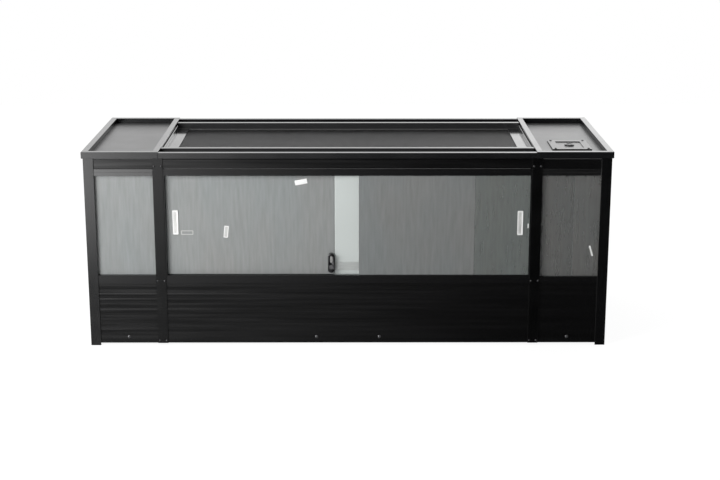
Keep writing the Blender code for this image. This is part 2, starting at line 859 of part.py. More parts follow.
def build_cable_port(black, drill):
    """Screwed plate with a square pocket, a raised ring in its middle and a plug. The
    plate and its cutters are made about their own middle and then put in place."""
    floor = plate_pocket_floor
    ring_top = floor + ring_height
    plate = box("cable_plate", (-plate_width / 2, -plate_depth / 2, 0),
                (plate_width / 2, plate_depth / 2, plate_thickness), black, edge_metal)
    pocket = bmesh.new()
    add_box(pocket, (-plate_pocket_width / 2, -plate_pocket_depth / 2, floor),
            (plate_pocket_width / 2, plate_pocket_depth / 2, 2 * plate_thickness))
    ring = bmesh.new()
    ring_in = port_radius - ring_height / 2
    add_lathe(ring, [(ring_in, floor / 2), (ring_radius, floor / 2),
                     (ring_radius, ring_top - edge_board),
                     (ring_radius - edge_board, ring_top), (ring_in, ring_top)],
              (0, 0), "Z", 32)
    bore = bmesh.new()
    add_lathe(bore, [(0, 2 * ring_top), (port_radius, 2 * ring_top),
                     (port_radius, -plate_thickness), (0, -plate_thickness)],
              (0, 0), "Z", 32)
    pocket_cutter = make_cutter("plate_pocket", pocket)
    ring_piece = make_cutter("port_ring", ring)
    bore_cutter = make_cutter("port_bore", bore)
    for thing in (plate, pocket_cutter, ring_piece, bore_cutter):
        thing.location = (port_x, port_y, plate_bottom)
    cut(plate, pocket_cutter)
    union = plate.modifiers.new("raised ring", "BOOLEAN")
    union.operation = "UNION"
    union.object = ring_piece
    cut(plate, bore_cutter)
    cut(plate, drill)

    head = port_radius - plug_play
    spigot = panel_hole_radius - plug_play
    head_top = plate_bottom + plug_head
    turned = bmesh.new()
    add_lathe(turned, [(0, head_top), (head - edge_board, head_top),
                       (head, head_top - edge_board), (head, plate_bottom),
                       (spigot, plate_bottom), (spigot, panel_top - plug_spigot),
                       (0, panel_top - plug_spigot)], (port_x, port_y), "Z", 24)
    return make_piece("cable_plug", turned, black, smooth=True)


def main():
    clear_scene()
    metal = make_material("black coated profile", (0.020, 0.021, 0.023), 0.38)
    black = make_material("black board", (0.016, 0.016, 0.017), 0.50)
    plastic = make_material("black track plastic", (0.024, 0.025, 0.027), 0.42)
    clear = make_material("glass", (0.80, 0.86, 0.84), 0.05, alpha=0.35)
    film = make_material("pale film", (0.72, 0.77, 0.75), 0.45)
    white = make_material("white plastic", (0.82, 0.82, 0.80), 0.40)
    steel = make_material("bright steel", (0.60, 0.60, 0.60), 0.30, metallic=1.0)
    chrome = make_material("lock barrel metal", (0.70, 0.70, 0.70), 0.18, metallic=1.0)
    dark_steel = make_material("black screws", (0.05, 0.05, 0.05), 0.35, metallic=0.6)
    mesh_black = make_material("black screen wire", (0.03, 0.03, 0.03), 0.45)

    drill = build_screws(dark_steel)
    build_posts(metal)
    build_mullions(metal)
    build_boards(black, drill)
    build_top_boards(black, drill)
    build_rim(metal)
    build_tracks(plastic)
    build_windows(clear)
    left_door, right_door = build_doors(clear, film, white)
    bar, body, barrel = build_lock(black, steel, chrome)
    screen = build_screen(metal, mesh_black)
    plug = build_cable_port(black, drill)

    middle_z = (pane_bottom + pane_top) / 2
    hold("left_door", ((left_pane_end - pane_outer) / 2, sum(rear_pane) / 2, middle_z),
         left_door + [bar])
    hold("right_door", ((right_pane_end + pane_outer) / 2, sum(front_pane) / 2, middle_z),
         right_door + [body])
    hold("lock_axis", (lock_x, lock_front, bar_z), [barrel])
    hold("screen_lid", (0, 0, screen_under), screen)
    hold("cable_plug_axis", (port_x, port_y, panel_top), [plug])


main()
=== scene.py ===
"""Looks of a front-opening reptile cage: black coated frame, film-covered glass, screen top.

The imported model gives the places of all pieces. Most of its pieces are kept and finished
here. The pieces that need a finer shape are worked out below and stand for their nodes.
"""

import math

import bmesh
import bpy
import numpy as np
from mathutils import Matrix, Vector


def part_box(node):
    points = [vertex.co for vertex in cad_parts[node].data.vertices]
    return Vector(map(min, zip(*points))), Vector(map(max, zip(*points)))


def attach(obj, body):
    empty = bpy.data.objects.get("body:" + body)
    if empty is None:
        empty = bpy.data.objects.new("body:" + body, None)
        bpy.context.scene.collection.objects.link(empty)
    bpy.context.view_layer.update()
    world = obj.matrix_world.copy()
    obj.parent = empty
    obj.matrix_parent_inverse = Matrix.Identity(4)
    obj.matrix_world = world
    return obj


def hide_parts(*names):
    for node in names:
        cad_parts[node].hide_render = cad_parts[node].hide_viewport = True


bl_info = {
    "name": "Reptile cage",
    "version": (1, 0, 0),
    "blender": (4, 5, 0),
    "location": "3D View > Sidebar > Reptile cage",
    "description": "Finishes, fine pieces and stage of a reptile cage",
    "category": "Object",
}

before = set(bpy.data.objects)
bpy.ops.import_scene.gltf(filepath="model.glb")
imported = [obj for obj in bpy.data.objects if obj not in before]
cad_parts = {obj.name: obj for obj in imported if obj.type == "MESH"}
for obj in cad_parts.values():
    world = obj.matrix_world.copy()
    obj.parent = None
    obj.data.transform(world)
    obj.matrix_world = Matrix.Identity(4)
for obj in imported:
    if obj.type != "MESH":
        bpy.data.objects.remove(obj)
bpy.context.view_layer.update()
SIDES = ("left", "right")


def pair(name):
    """Names of a left and a right piece."""
    return [f"{name}_{side}" for side in SIDES]


POSTS = pair("post_front") + pair("post_rear")
RIMS = (pair("rim_front") + pair("rim_rear") + pair("cross_bar")
        + ["rim_front_center", "rim_rear_center"])
SCREEN_FRAME = pair("screen_frame") + ["screen_frame_front", "screen_frame_rear"]
BOARDS = (pair("side_panel") + pair("floor")
          + ["back_panel", "header_panel", "top_strip_front", "top_strip_rear"])
TRACKS = pair("sill") + pair("jamb") + ["upper_track", "lower_track"]
HEADS = pair("head")
# Each pane with the body that carries it
PANES = {"window_left": "cage", "window_right": "cage", "door_glass_left": "left_door",
         "door_glass_right": "right_door"}


# Settings


def color_setting(name, description, default):
    return bpy.props.FloatVectorProperty(name=name, description=description, subtype="COLOR",
                                         size=3, min=0, max=1, default=default)


def length_setting(name, description, default):
    return bpy.props.FloatProperty(name=name, description=description, subtype="DISTANCE",
                                   unit="LENGTH", min=0, default=default, precision=5)


def share_setting(name, description, default):
    return bpy.props.FloatProperty(name=name, description=description, subtype="FACTOR",
                                   min=0, max=1, default=default)


def angle_setting(name, description, degrees):
    return bpy.props.FloatProperty(name=name, description=description, subtype="ANGLE",
                                   unit="ROTATION", default=math.radians(degrees))


class CageFinishSettings(bpy.types.PropertyGroup):
    """Colours and gloss of the cage's pieces."""

    # The rim takes this coating lighter and the mullions darker: painted light and painted
    # shade.
    coating: color_setting("Coating", "Black coating of the posts, rim and bars",
                           (0.0030, 0.0031, 0.0034))
    coating_roughness: share_setting("Coating roughness", "How dull the coating is", 0.15)
    board: color_setting("Boards", "Black sheet of the walls and floor",
                         (0.0036, 0.0036, 0.0038))
    board_roughness: share_setting("Board roughness", "How dull the boards are", 0.13)
    lid: color_setting("Screen frame", "Black coating of the screen's frame",
                       (0.027, 0.027, 0.028))
    panel: color_setting("Top panels", "Sheet of the solid top panels", (0.055, 0.055, 0.056))
    track: color_setting("Tracks", "Black plastic of the tracks", (0.004, 0.004, 0.0043))
    # Lighter than the track: a painted highlight along the upper track's front edge.
    track_lip_highlight: color_setting("Track lip", "Painted highlight along the upper track's edge",
                             (0.075, 0.075, 0.075))
    glass: color_setting("Glass", "Faint green of the glass", (0.86, 0.93, 0.91))
    film: color_setting("Film", "Haze of the protective film", (0.24, 0.25, 0.247))
    # The film end and film gray colours are the film with a green or gray tint, made darker as
    # painted shade towards the right.
    film_green_shaded: color_setting("Film end", "Haze of the right pane's end", (0.166, 0.182, 0.173))
    film_gray_shaded: color_setting("Film gray", "Haze of the right window", (0.157, 0.157, 0.151))
    film_cover: share_setting("Film cover", "How much the film hides what is behind", 0.60)
    strip: color_setting("Overlap strip", "Pale strip between the panes", (0.46, 0.48, 0.47))
    label: color_setting("Labels", "Bare paper labels", (0.86, 0.86, 0.85))
    label_faded: color_setting("Faded labels", "Rubbed paper labels", (0.49, 0.49, 0.48))
    pull: color_setting("Finger pulls", "White plastic of the pulls", (0.80, 0.80, 0.79))
    pull_well_shade: color_setting("Pull wells", "Shaded floor of the pulls", (0.55, 0.55, 0.54))
    wire: color_setting("Screen wire", "Black coating of the wire", (0.020, 0.020, 0.021))
    # Lighter than the wire: a painted sheen along the folded edge.
    hem: color_setting("Screen hem", "Edge of the screen cloth", (0.10, 0.10, 0.10))
    lock: color_setting("Lock", "Blackened metal of the lock body", (0.085, 0.085, 0.088))
    # A pale plate in the lock's gloss black recess: a painted reflection.
    lock_plate_reflection: color_setting("Lock plate", "Painted reflection in the lock's recess",
                              (0.29, 0.29, 0.285))
    lock_barrel: color_setting("Lock barrel", "Metal of the turning barrel",
                               (0.50, 0.50, 0.51))
    lock_bar: color_setting("Lock bar", "Steel of the ribbed bar", (0.52, 0.515, 0.51))
    screw: color_setting("Screws", "Blackened metal of the screws", (0.11, 0.11, 0.113))
    fastener: color_setting("Fasteners", "Black heads on the mullions",
                            (0.018, 0.018, 0.019))
    port_dark: color_setting("Port, dark", "Darker patches of the cable plate",
                             (0.016, 0.016, 0.017))
    port_light: color_setting("Port, light", "Lighter patches of the cable plate",
                              (0.026, 0.026, 0.027))


class CageSizeSettings(bpy.types.PropertyGroup):
    """Sizes of the fine pieces, in metres."""

    wire_pitch: length_setting("Wire pitch", "Distance between screen wires", 0.0026)
    wire_width: length_setting("Wire width", "Thickness of a screen wire", 0.0005)
    plank_pitch: length_setting("Plank pitch", "Height of a lower plank", 0.0247)
    bead_height: length_setting("Bead height", "Height of the lower board's bead", 0.0058)
    bead_depth: length_setting("Bead depth", "How far the bead stands out", 0.0006)
    film_step: length_setting("Film step", "Spacing of the points over the film", 0.0022)
    film_wave: length_setting("Film wave", "Height of the film's wrinkles", 0.00012)
    film_skin: length_setting("Film skin", "Thickness of the film", 0.00006)
    label_skin: length_setting("Label skin", "Thickness of a label", 0.00010)
    lock_fillet: length_setting("Lock fillet", "Rounding of the lock body", 0.0009)


class CageStageSettings(bpy.types.PropertyGroup):
    """Camera and light."""

    camera_x: length_setting("Camera x", "Sideways place of the camera", 0.0194)
    camera_back: length_setting("Camera distance", "Distance before the middle", 3.5714)
    camera_z: length_setting("Camera height", "Height over the ground", 1.1312)
    camera_pitch: angle_setting("Camera pitch", "How far the camera looks down", 14.646)
    camera_turn: angle_setting("Camera turn", "How far the camera turns to the right", 0.153)
    lens: bpy.props.FloatProperty(name="Lens", description="Focal length in millimetres",
                                  unit="CAMERA", default=74.505)
    key_power: bpy.props.FloatProperty(name="Key light", description="Soft light at the left",
                                       unit="POWER", min=0, default=15.5)
    key_size: length_setting("Key size", "Width and height of the soft light", 1.1)
    floor: color_setting("Floor", "Pale floor", (0.78, 0.78, 0.78))


# Mesh helpers


def box_of(node):
    """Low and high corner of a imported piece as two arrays."""
    low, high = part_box(node)
    return np.array(low), np.array(high)


def front_of(node):
    """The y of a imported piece's front."""
    return box_of(node)[0][1]


def center_of(low, high):
    """Middle of a box's front, as (x, z)."""
    return (low[0] + high[0]) / 2, (low[2] + high[2]) / 2


def object_of(mesh, recipe, body, slot, *nodes):
    """Put a mesh in the scene on a moving body, in place of the nodes named."""
    piece = bpy.data.objects.new(mesh.name, mesh)
    bpy.context.scene.collection.objects.link(piece)
    mesh.materials.append(recipe.material)
    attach(piece, body)
    if nodes:
        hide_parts(*nodes)


def tidy(mesh, smooth_angle=35):
    """Merge seams and poles, turn faces outwards and shade with sharp edges kept."""
    work = bmesh.new()
    work.from_mesh(mesh)
    bmesh.ops.remove_doubles(work, verts=work.verts, dist=1e-7)
    bmesh.ops.dissolve_degenerate(work, edges=work.edges, dist=1e-8)
    bmesh.ops.recalc_face_normals(work, faces=work.faces)
    work.to_mesh(mesh)
    work.free()
    mesh.shade_smooth()
    mesh.set_sharp_from_angle(angle=math.radians(smooth_angle))
    return mesh


def grid_faces(rows, columns, wrap_rows=False):
    """Four corners of each cell of a grid whose points are numbered row by row. Each row
    is a loop, and with wrap_rows the last row also joins the first."""
    index = np.arange(rows * columns).reshape(rows, columns)
    if wrap_rows:
        index = np.vstack([index, index[:1]])
    index = np.hstack([index, index[:, :1]])
    corners = (index[:-1, :-1], index[1:, :-1], index[1:, 1:], index[:-1, 1:])
    return np.stack([c.ravel() for c in corners], 1)


def mesh_of(name, points, faces, caps=()):
    """Mesh from an array of points, an array of four-cornered faces and a few flat ends."""
    mesh = bpy.data.meshes.new(name)
    mesh.from_pydata(points.reshape(-1, 3).tolist(), [], faces.tolist() + list(caps))
    return mesh


def loft(name, rings, smooth_angle=35):
    """Skin over rings of points, (ring, place round it, xyz), closed at both ends."""
    count, around = rings.shape[:2]
    first = tuple(range(around))
    last = tuple(range((count - 1) * around, count * around))
    return tidy(mesh_of(name, rings, grid_faces(count, around), (first, last)), smooth_angle)


def closed_sheet(name, x, y, z, rear):
    """Skin over a field of front points, with a flat back at the y of the rear: each
    upright row and its two back corners make one loop, and the loops follow along x."""
    front = np.stack([x, y, z], 2)
    back = np.stack([x[:, [-1, 0]], np.full((len(x), 2), rear), z[:, [-1, 0]]], 2)
    return loft(name, np.concatenate([front, back], 1), 60)


def rounded_ring(wide, high, corner, steps=8):
    """Rectangle outline with round corners: four quarter circles, one after another, each
    about its own corner centre."""
    angle = np.linspace(0, math.pi / 2, steps)
    turns = np.arange(4)[:, None] * math.pi / 2
    sign_a = np.array([1, -1, -1, 1])[:, None]
    sign_b = np.array([1, 1, -1, -1])[:, None]
    a = sign_a * (wide / 2 - corner) + corner * np.cos(angle + turns)
    b = sign_b * (high / 2 - corner) + corner * np.sin(angle + turns)
    return np.stack([a.ravel(), b.ravel()], 1)


def plate_rings(center, wide, high, corner, layers, tilt=0.0, least_corner=0.0001):
    """Rectangle outlines with round corners in the xz plane, turned by the tilt: for each
    layer (inset, y) the outline shrinks by the inset and lies at that y."""
    rings = []
    for inset, y in layers:
        rounding = max(corner - inset, least_corner)
        ring = rounded_ring(wide - 2 * inset, high - 2 * inset, rounding)
        x = ring[:, 0] * math.cos(tilt) - ring[:, 1] * math.sin(tilt)
        z = ring[:, 0] * math.sin(tilt) + ring[:, 1] * math.cos(tilt)
        rings.append(np.stack([center[0] + x, np.full(len(x), y), center[1] + z], 1))
    return np.array(rings)


def layered_plate(name, *outline):
    """Plate whose outlines run from the back edge over the rim to the face."""
    return loft(name, plate_rings(*outline))


def turned(name, center, profile, steps=40):
    """Profile of (radius, y) carried round an axis along y, with its centre at (x, z)."""
    profile = np.array(profile)
    angle = np.linspace(0, 2 * math.pi, steps, endpoint=False)
    x = center[0] + profile[:, :1] * np.cos(angle)
    z = center[1] + profile[:, :1] * np.sin(angle)
    y = np.repeat(profile[:, 1:], steps, 1)
    return loft(name, np.stack([x, y, z], 2))


def round_bar(x, y, z, radius, steps):
    """Rings of a round bar along x: a circle about each point (y, z) of its middle line."""
    angle = np.linspace(0, 2 * math.pi, steps, endpoint=False)
    rings = np.broadcast_arrays(x[:, None], np.reshape(y, (-1, 1)) + radius * np.cos(angle),
                                np.reshape(z, (-1, 1)) + radius * np.sin(angle))
    return np.stack(rings, 2)


# Finish helpers


def shade(color, factor):
    """The colour made darker or lighter by a factor, up to white."""
    return tuple(min(1.0, channel * factor) for channel in color)


def map_range(tree, source, low, high, to_low, to_high, kind="LINEAR"):
    """Carry a value from one range to another, and hold it at the ends."""
    node = tree.nodes.new("ShaderNodeMapRange")
    node.interpolation_type = kind
    tree.links.new(source, node.inputs["Value"])
    for socket, value in (("From Min", low), ("From Max", high),
                          ("To Min", to_low), ("To Max", to_high)):
        node.inputs[socket].default_value = value
    return node.outputs["Result"]


class Recipe:
    """A material's nodes, with its pattern read from the piece's own coordinates."""

    def __init__(self, name, **values):
        self.material = bpy.data.materials.new(name)
        self.material.use_nodes = True
        self.tree = self.material.node_tree
        self.shader = self.tree.nodes["Principled BSDF"]
        self.place = self.tree.nodes.new("ShaderNodeTexCoord").outputs["Object"]
        self.set(**values)

    def set(self, **values):
        """Constants on the shader's own sockets, named with _ for a space."""
        for key, value in values.items():
            self.shader.inputs[key.replace("_", " ")].default_value = value

    def drive(self, socket, source):
        """Link a value to one of the shader's sockets."""
        self.tree.links.new(source, self.shader.inputs[socket])

    def noise(self, scale, detail=3.0, stretch=(1, 1, 1)):
        """Fine to coarse noise, 0 to 1 and mostly between 0.3 and 0.7."""
        mapping = self.tree.nodes.new("ShaderNodeMapping")
        mapping.inputs["Scale"].default_value = stretch
        self.tree.links.new(self.place, mapping.inputs["Vector"])
        texture = self.tree.nodes.new("ShaderNodeTexNoise")
        texture.inputs["Scale"].default_value = scale
        texture.inputs["Detail"].default_value = detail
        self.tree.links.new(mapping.outputs["Vector"], texture.inputs["Vector"])
        return texture.outputs["Fac"]

    def vary(self, socket, pattern, low, high, span=(0.3, 0.7)):
        """Carry the usual span of a pattern to a range of one of the shader's sockets."""
        self.drive(socket, map_range(self.tree, pattern, *span, low, high))

    def tint(self, pattern, color, other):
        """Blend two base colours by a pattern."""
        node = self.tree.nodes.new("ShaderNodeMix")
        node.data_type = "RGBA"
        self.tree.links.new(pattern, node.inputs["Factor"])
        node.inputs["A"].default_value = (*color, 1)
        node.inputs["B"].default_value = (*other, 1)
        self.drive("Base Color", node.outputs["Result"])

    def mottle(self, pattern, color, dark, light):
        """Blend a darker and a lighter shade of a base colour by a pattern."""
        self.tint(pattern, shade(color, dark), shade(color, light))

    def relief(self, pattern, distance):
        """Raise the skin by a pattern, in the shading only."""
        node = self.tree.nodes.new("ShaderNodeBump")
        node.inputs["Distance"].default_value = distance
        self.tree.links.new(pattern, node.inputs["Height"])
        self.drive("Normal", node.outputs["Normal"])

    def paint(self, nodes):
        """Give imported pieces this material."""
        for name in nodes:
            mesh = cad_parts[name].data
            mesh.materials.clear()
            mesh.materials.append(self.material)


def mottled(name, color, dark, light, noise, relief=None, **values):
    """Finish whose colour goes from a darker to a lighter shade, with a relief if given."""
    recipe = Recipe(name, **values)
    pattern = recipe.noise(*noise)
    recipe.mottle(pattern, color, dark, light)
    if relief:
        recipe.relief(pattern, relief)
    return recipe


def scuffed(name, color, low, high, noise, relief=None, **values):
    """Finish of one colour whose roughness goes from low to high, with a relief if given."""
    recipe = Recipe(name, Base_Color=(*color, 1), **values)
    pattern = recipe.noise(*noise)
    recipe.vary("Roughness", pattern, low, high)
    if relief:
        recipe.relief(pattern, relief)
    return recipe


def coated(name, color, roughness, gloss=0.5):
    """Fine-grained black coating with a clear gloss over it."""
    recipe = Recipe(name, Coat_Weight=gloss, Coat_Roughness=0.08)
    clouds = recipe.noise(14.0, 4.0)
    recipe.mottle(clouds, color, 0.8, 1.25)
    recipe.vary("Roughness", clouds, roughness - 0.03, roughness + 0.05)
    recipe.relief(recipe.noise(900.0, 2.0), 0.000015)
    return recipe


def dull_inside(recipe, edge, gloss=0.5):
    """Take the gloss off the skin that lies nearer the middle, along x, than the edge."""
    axes = recipe.tree.nodes.new("ShaderNodeSeparateXYZ")
    recipe.tree.links.new(recipe.place, axes.inputs["Vector"])
    away = recipe.tree.nodes.new("ShaderNodeMath")
    away.operation = "ABSOLUTE"
    recipe.tree.links.new(axes.outputs["X"], away.inputs[0])
    for socket in ("Specular IOR Level", "Coat Weight"):
        recipe.vary(socket, away.outputs["Value"], 0.03, gloss,
                    (edge + 0.0001, edge + 0.0005))


# Pieces


class CageOperator(bpy.types.Operator):
    """Shared options of the cage's operators."""

    bl_options = {"REGISTER", "UNDO"}


class CAGE_OT_frame(CageOperator):
    """Finish the posts, mullions, rim, cross bars and screen frame"""

    bl_idname = "cage.coat_frame"
    bl_label = "Coat frame"

    def execute(self, context):
        finish = context.scene.cage_finish
        color = finish.coating
        rough = finish.coating_roughness
        coated("post coating", color, rough, 0.58).paint(POSTS)
        # The rim and its side caps take the coating 2.3 times lighter: painted light, a lit
        # copy of the posts' coating.
        coated("lit rim coating", shade(color, 2.3), rough).paint(RIMS)
        cap = coated("side lit rim coating", shade(color, 2.3), rough)
        dull_inside(cap, box_of("rim_side_right")[0][0])
        cap.paint(pair("rim_side"))
        # The mullions take the coating at 0.45 of its colour: painted shade, a darker copy of
        # the same coating.
        strip = coated("shaded mullion coating", shade(color, 0.45), rough, 0.0)
        strip.set(Specular_IOR_Level=0.48)
        strip.paint(pair("mullion"))
        coated("screen frame coating", finish.lid, rough - 0.04).paint(SCREEN_FRAME)
        return {"FINISHED"}


class CAGE_OT_boards(CageOperator):
    """Finish the walls, floor, header and top boards, and make the lower front board"""

    bl_idname = "cage.finish_boards"
    bl_label = "Finish boards"

    def execute(self, context):
        finish = context.scene.cage_finish
        rough = finish.board_roughness
        recipe = Recipe("black board", Coat_Weight=0.2, Coat_Roughness=0.08)
        streaks = recipe.noise(60.0, 4.0, (0.06, 0.06, 2.2))
        recipe.mottle(streaks, finish.board, 0.75, 1.3)
        recipe.vary("Roughness", streaks, rough - 0.02, rough + 0.04)
        recipe.vary("Specular IOR Level", streaks, 0.27, 0.55, (0.35, 0.65))
        recipe.relief(streaks, 0.00005)
        recipe.paint(BOARDS)
        object_of(lower_board("lower_board", context.scene.cage_sizes), recipe, "cage",
                  "board", "lower_front_panel")
        object_of(floor_tongue("floor_tongue"), recipe, "cage", "board")
        panel = Recipe("top panel sheet", Coat_Weight=0.4, Coat_Roughness=0.27)
        clouds = panel.noise(9.0)
        panel.mottle(clouds, finish.panel, 0.8, 1.2)
        panel.vary("Roughness", clouds, 0.30, 0.38)
        panel.relief(panel.noise(500.0, 2.0), 0.00005)
        panel.paint(pair("top_panel"))
        return {"FINISHED"}


def lower_board(name, sizes):
    """Board carried along x. Its face is a flat, less a bead (a half ellipse in z), plus
    four plank lines and a slight sheet waviness: the lines are narrow bell-shaped dips,
    and the waviness is a sum of cubed sines in z whose phases drift along x."""
    low, high = box_of("lower_front_panel")
    bead_drop = 0.0274
    bead_z = high[2] - bead_drop
    half_bead = sizes.bead_height / 2
    x, z = np.meshgrid(np.linspace(low[0], high[0], 60),
                       np.linspace(low[2], high[2], 420), indexing="ij")
    across = np.clip(1 - ((z - bead_z) / half_bead) ** 2, 0, 1)
    y = low[1] + sizes.bead_depth - sizes.bead_depth * np.sqrt(across)
    line_depth = 0.00005
    line_width = 0.0011
    first_line = 0.3
    for plank in range(4):
        line = bead_z - half_bead - (plank + first_line) * sizes.plank_pitch
        y += line_depth * np.exp(-((z - line) / line_width) ** 2)
    draw = np.random.default_rng(5)
    drift_length = 0.9
    drift_reach = 1.4
    steepness = 0.0005
    for length in (0.0072, 0.0105, 0.0163, 0.0281):
        phase, drift = draw.uniform(0, 2 * math.pi, 2)
        bend = drift_reach * np.sin(2 * math.pi * x / drift_length + drift)
        y += steepness * length * np.sin(2 * math.pi * z / length + phase + bend) ** 3
    return closed_sheet(name, x, np.maximum(y, low[1]), z, high[1])


def floor_tongue(name):
    """Tongue in the joint of the two floor boards: a rectangle outline with round corners,
    as wide as the joint, carried along y."""
    low, high = box_of("floor_left")
    wide = box_of("floor_right")[0][0] - high[0]
    inset = 0.001
    ring = rounded_ring(wide, high[2] - low[2] - 2 * inset, wide * 0.2, 4)
    x, y = np.meshgrid(ring[:, 0] + high[0] + wide / 2,
                       np.linspace(low[1] + inset, high[1] - inset, 12))
    z = np.broadcast_to(ring[:, 1] + (low[2] + high[2]) / 2, x.shape)
    return loft(name, np.stack([x, y, z], 2))


class CAGE_OT_tracks(CageOperator):
    """Finish the door tracks, window channels and jambs, and add their lips"""

    bl_idname = "cage.finish_tracks"
    bl_label = "Finish tracks"

    def execute(self, context):
        finish = context.scene.cage_finish
        mottled("black track plastic", finish.track, 0.8, 1.2, (120.0, 3.0, (0.05, 1, 1)),
                0.00002, Roughness=0.18, Specular_IOR_Level=0.55).paint(TRACKS)
        channel = scuffed("window head plastic", finish.track, 0.16, 0.24,
                          (80.0, 3.0, (0.08, 1, 1)), IOR=2.0)
        channel.paint(HEADS)
        for node in HEADS:
            head_lips(node, channel)
        # The lip's colour is far lighter than the track's: a painted highlight along its edge.
        rolled = mottled("track lip painted highlight", finish.track_lip_highlight, 0.5, 1.5,
                         (45.0, 3.0, (1, 0.2, 0.2)), Roughness=0.3)
        object_of(track_lip_highlight("track_lip_highlight"), rolled, "cage", "track")
        return {"FINISHED"}


def head_lips(node, recipe):
    """Two flat lips with bevelled edges along the face of a window head."""
    low, high = box_of(node)
    side_gap = 0.0004
    edge_to_middle = 0.0041
    wide = high[0] - low[0] - 2 * side_gap
    layers = ((0, low[1]), (0, low[1] - 0.00003), (0.00025, low[1] - 0.00028))
    for row, z in (("lower", low[2] + edge_to_middle), ("upper", high[2] - edge_to_middle)):
        mesh = layered_plate(f"{node}_{row}_lip", ((low[0] + high[0]) / 2, z), wide, 0.0070,
                             0.0006, layers)
        object_of(mesh, recipe, "cage", "track")


def track_lip_highlight(name):
    """Small rolled lip on the upper track's top front corner, which carries a painted
    highlight: a circle carried along x.
    """
    low, high = box_of("upper_track")
    radius = 0.0005
    clearance = 0.0001
    end_gap = 0.001
    x = np.linspace(low[0] + end_gap, high[0] - end_gap, 80)
    y = front_of("header_panel") - clearance - radius
    z = high[2] + clearance + radius
    return loft(name, round_bar(x, y, z, radius, 12), 60)


def film_recipe(name, color, cover, number):
    """Hazy film: pale scatter with slow colour patches and upright wrinkles."""
    recipe = Recipe(name, Roughness=0.40, Specular_IOR_Level=0.9, Coat_Weight=1.0,
                    Coat_Roughness=0.35)
    patches = recipe.noise(9.0 + number, 3.0, (1, 1, 0.35))
    wrinkles = recipe.noise(150.0, 3.0, (1, 1, 0.10))
    warm = (color[0] * 1.02, color[1], color[2] * 0.99)
    cool = (color[0] * 0.97, color[1], color[2] * 1.01)
    recipe.tint(map_range(recipe.tree, patches, 0.35, 0.65, 0.0, 1.0), warm, cool)
    recipe.vary("Alpha", wrinkles, cover - 0.08, cover + 0.08, (0.25, 0.75))
    recipe.relief(wrinkles, 0.00004)
    return recipe


def wrinkle_height(x, z, seed):
    """Height of the film, 0 to 1: a sum of upright waves of unlike widths, each bent a
    little on its way up, and bell-shaped blisters, taller than wide, at seeded places."""
    draw = np.random.default_rng(seed)
    height = np.zeros_like(x)
    waves = 9
    for _ in range(waves):
        width = draw.uniform(0.006, 0.034)
        bend = draw.uniform(0.1, 0.6)
        length = draw.uniform(0.10, 0.35)
        phase, turn = draw.uniform(0, 2 * math.pi, 2)
        waver = bend * np.sin(2 * math.pi * z / length + turn)
        height += np.sin(2 * math.pi * x / width + waver * 4 + phase)
    height = 0.5 + height / (2 * waves)
    blisters_per_area = 600
    blister_rise = 0.18
    upright = 1.8
    for _ in range(int(blisters_per_area * (x.max() - x.min()) * (z.max() - z.min()))):
        center_x = draw.uniform(x.min(), x.max())
        center_z = draw.uniform(z.min(), z.max())
        radius = draw.uniform(0.0025, 0.007)
        far = ((x - center_x) ** 2 + ((z - center_z) / upright) ** 2) / radius ** 2
        height += blister_rise * np.exp(-far)
    return np.clip(height, 0, 1)


def film_mesh(name, low, high, pane, sizes, seed):
    """Sheet over the front of a pane: its front stands off its flat back by a skin and the
    height of the wrinkles, which falls evenly to nothing at the edges."""
    columns = max(8, int((high[0] - low[0]) / sizes.film_step))
    rows = max(8, int((high[1] - low[1]) / sizes.film_step))
    x, z = np.meshgrid(np.linspace(low[0], high[0], columns),
                       np.linspace(low[1], high[1], rows), indexing="ij")
    fade_width = 0.004
    fade = np.minimum(1, np.minimum(x - low[0], high[0] - x) / fade_width)
    fade = fade * np.minimum(1, np.minimum(z - low[1], high[1] - z) / fade_width)
    lift = sizes.film_skin + sizes.film_wave * wrinkle_height(x, z, seed) * fade
    gap = 0.00004
    rear = front_of(pane) - gap
    return closed_sheet(name, x, rear - lift, z, rear)


class CAGE_OT_glazing(CageOperator):
    """Make the glass clear and lay the protective film over each pane"""

    bl_idname = "cage.glaze"
    bl_label = "Glaze"

    def execute(self, context):
        finish = context.scene.cage_finish
        sizes = context.scene.cage_sizes
        scuffed("clear glass", finish.glass, 0.02, 0.06, (6.0,), Alpha=0.12,
                Specular_IOR_Level=0.5).paint(PANES)
        head = box_of("upper_track")[0][2]
        jamb, inner = (corner[0] for corner in box_of("jamb_right"))
        outer = box_of("window_right")[1][0]
        meet = box_of("door_glass_right")[0][0]
        strip = box_of("overlap_film")[1][0]
        door_joint = strip + 0.68 * (jamb - strip)
        window_joint = inner + 0.56 * (outer - inner)
        pale, green, gray = finish.film, finish.film_green_shaded, finish.film_gray_shaded
        # Each sheet's factor lightens the left sheets and darkens the right ones: painted light
        # and painted shade across the panes, on copies of one film.
        sheets = (
            ("window_left", "window_left", -outer, -inner, pale, 1.20),
            ("door_left", "door_glass_left", -jamb, meet, pale, 1.27),
            ("door_right", "door_glass_right", strip, door_joint, pale, 0.96),
            ("door_end", "door_glass_right", door_joint, jamb, green, 1.0),
            ("window_right", "window_right", inner, window_joint, gray, 0.98),
            ("window_end", "window_right", window_joint, outer, gray, 1.06),
        )
        margin = 0.0006
        first_seed = 11
        for number, (part, pane, left, right, color, painted_light_factor) in enumerate(sheets):
            foot = "sill_right" if pane == "window_right" else "lower_track"
            low = (left + margin, box_of(foot)[1][2] + margin)
            high = (right - margin, head - margin)
            mesh = film_mesh(f"film_{part}", low, high, pane, sizes, first_seed + number)
            recipe = film_recipe(f"film {part.replace('_', ' ')}", shade(color, painted_light_factor),
                                 finish.film_cover, number)
            object_of(mesh, recipe, PANES[pane], "glass")
        return {"FINISHED"}


